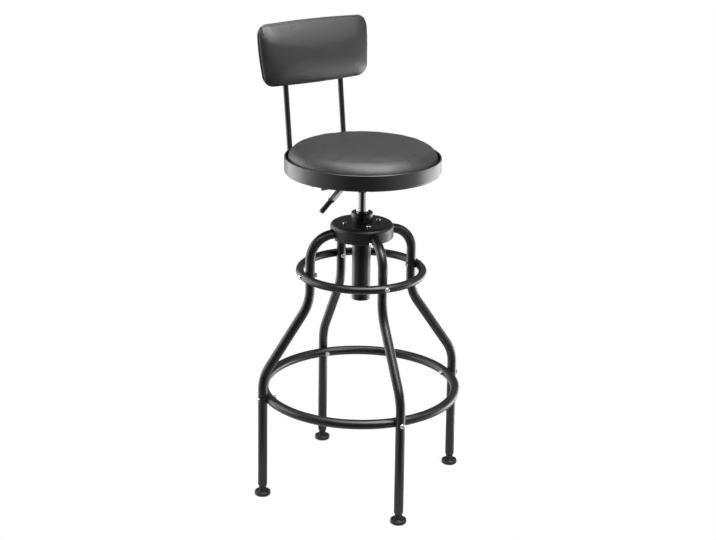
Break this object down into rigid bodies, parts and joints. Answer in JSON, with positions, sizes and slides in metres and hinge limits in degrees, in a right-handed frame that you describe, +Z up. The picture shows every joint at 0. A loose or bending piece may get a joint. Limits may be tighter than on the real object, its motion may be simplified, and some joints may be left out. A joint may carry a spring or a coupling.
{
  "type": "work stool",
  "caption": "Height-adjustable swivelling work stool with a round padded seat, a small padded backrest, bent tube legs, an upper ring and a foot ring.",
  "frame": {"origin": "on the floor, at the middle of the four feet, on the axis that the seat turns about", "axes": "+Z up along the column; the sitter faces -Y, so the backrest is at +Y; the lift lever points to -X"},
  "size_m": [0.5154, 0.5154, 1.0972],
  "materials": {
    "black_frame": "satin black powder coat",
    "black_seat_metal": "satin black paint",
    "zinc_steel": "bright zinc plate",
    "bright_steel": "ground steel",
    "piston_aluminium": "turned",
    "cage_brass": "pressed",
    "seal_rubber": "smooth",
    "chrome_cylinder": "polished chrome",
    "bush_plastic": "matte",
    "black_plastic": "matte",
    "foot_rubber": "moulded, slight sheen",
    "grip_plastic": "dipped vinyl",
    "plywood": "sanded plywood",
    "seat_vinyl": "charcoal vinyl, fine grain, satin",
    "back_vinyl": "charcoal vinyl, fine grain, satin"
  },
  "bodies": {
    "base": {"hub": "black_frame", "leg_clamp": "black_frame", "leg_right": "black_frame", "leg_rear": "black_frame", "leg_left": "black_frame", "leg_front": "black_frame", "upper_ring": "black_frame", "foot_ring": "black_frame", "hub_screws": "zinc_steel", "hub_nuts": "zinc_steel", "upper_ring_screws": "zinc_steel", "upper_ring_nuts": "zinc_steel", "foot_ring_screws": "zinc_steel", "foot_ring_nuts": "zinc_steel", "column_tube": "black_frame", "end_plate": "zinc_steel", "collar": "black_frame", "guide_bush": "bush_plastic", "leg_plugs": "black_plastic", "bearing_race_lower": "bright_steel"},
    "lift_rod": {"piston_rod": "bright_steel", "piston": "piston_aluminium", "piston_seal": "seal_rubber", "rod_clip": "bright_steel", "bearing_race_upper": "bright_steel", "bearing_balls": "bright_steel", "bearing_cage": "cage_brass"},
    "seat": {"gas_cylinder": "chrome_cylinder", "gland": "bright_steel", "valve_body": "bright_steel", "taper_socket": "black_seat_metal", "support_channel": "black_seat_metal", "channel_bolts": "zinc_steel", "seat_tee_nuts": "zinc_steel", "seat_pan": "black_seat_metal", "seat_board": "plywood", "seat_cushion": "seat_vinyl", "back_post_left": "black_frame", "back_post_right": "black_frame", "post_saddles": "black_seat_metal", "post_bolts": "zinc_steel", "post_caps": "black_plastic", "back_panel": "black_seat_metal", "back_board": "plywood", "back_pad": "back_vinyl", "back_screws": "zinc_steel", "back_tee_nuts": "zinc_steel", "lever_pin": "zinc_steel"},
    "lever": {"lever_arm": "zinc_steel", "lever_grip": "grip_plastic"},
    "valve_button": {"valve_button": "bright_steel"},
    "foot_right": {"foot_pad_right": "foot_rubber", "foot_stem_right": "bright_steel"},
    "foot_rear": {"foot_pad_rear": "foot_rubber", "foot_stem_rear": "bright_steel"},
    "foot_left": {"foot_pad_left": "foot_rubber", "foot_stem_left": "bright_steel"},
    "foot_front": {"foot_pad_front": "foot_rubber", "foot_stem_front": "bright_steel"}
  },
  "joints": [
    {"name": "seat_swivel", "type": "hinge", "parent": "base", "child": "lift_rod", "pos_m": [0, 0, 0.489], "axis": [0, 0, 1], "continuous": true},
    {"name": "seat_lift", "type": "slide", "parent": "lift_rod", "child": "seat", "axis": [0, 0, 1], "range_m": [-0.045, 0.055]},
    {"name": "lever_pull", "type": "hinge", "parent": "seat", "child": "lever", "pos_m": [-0.036, 0, 0.764], "axis": [0, 1, 0], "range_deg": [0, 6], "stiffness_Nm_per_rad": 2, "springref_deg": -2.86},
    {"name": "valve_press", "type": "slide", "parent": "seat", "child": "valve_button", "axis": [0, 0, -1], "range_m": [0, 0.0042], "stiffness_N_per_m": 0.2, "springref_m": -0.256},
    {"name": "foot_screw_right", "type": "slide", "parent": "base", "child": "foot_right", "axis": [0, 0, -1], "range_m": [0, 0.012]},
    {"name": "foot_screw_rear", "type": "slide", "parent": "base", "child": "foot_rear", "axis": [0, 0, -1], "range_m": [0, 0.012]},
    {"name": "foot_screw_left", "type": "slide", "parent": "base", "child": "foot_left", "axis": [0, 0, -1], "range_m": [0, 0.012]},
    {"name": "foot_screw_front", "type": "slide", "parent": "base", "child": "foot_front", "axis": [0, 0, -1], "range_m": [0, 0.012]}
  ],
  "couplings": [
    {"joint": "valve_press", "follows": "lever_pull", "m_per_rad": 0.039}
  ]
}
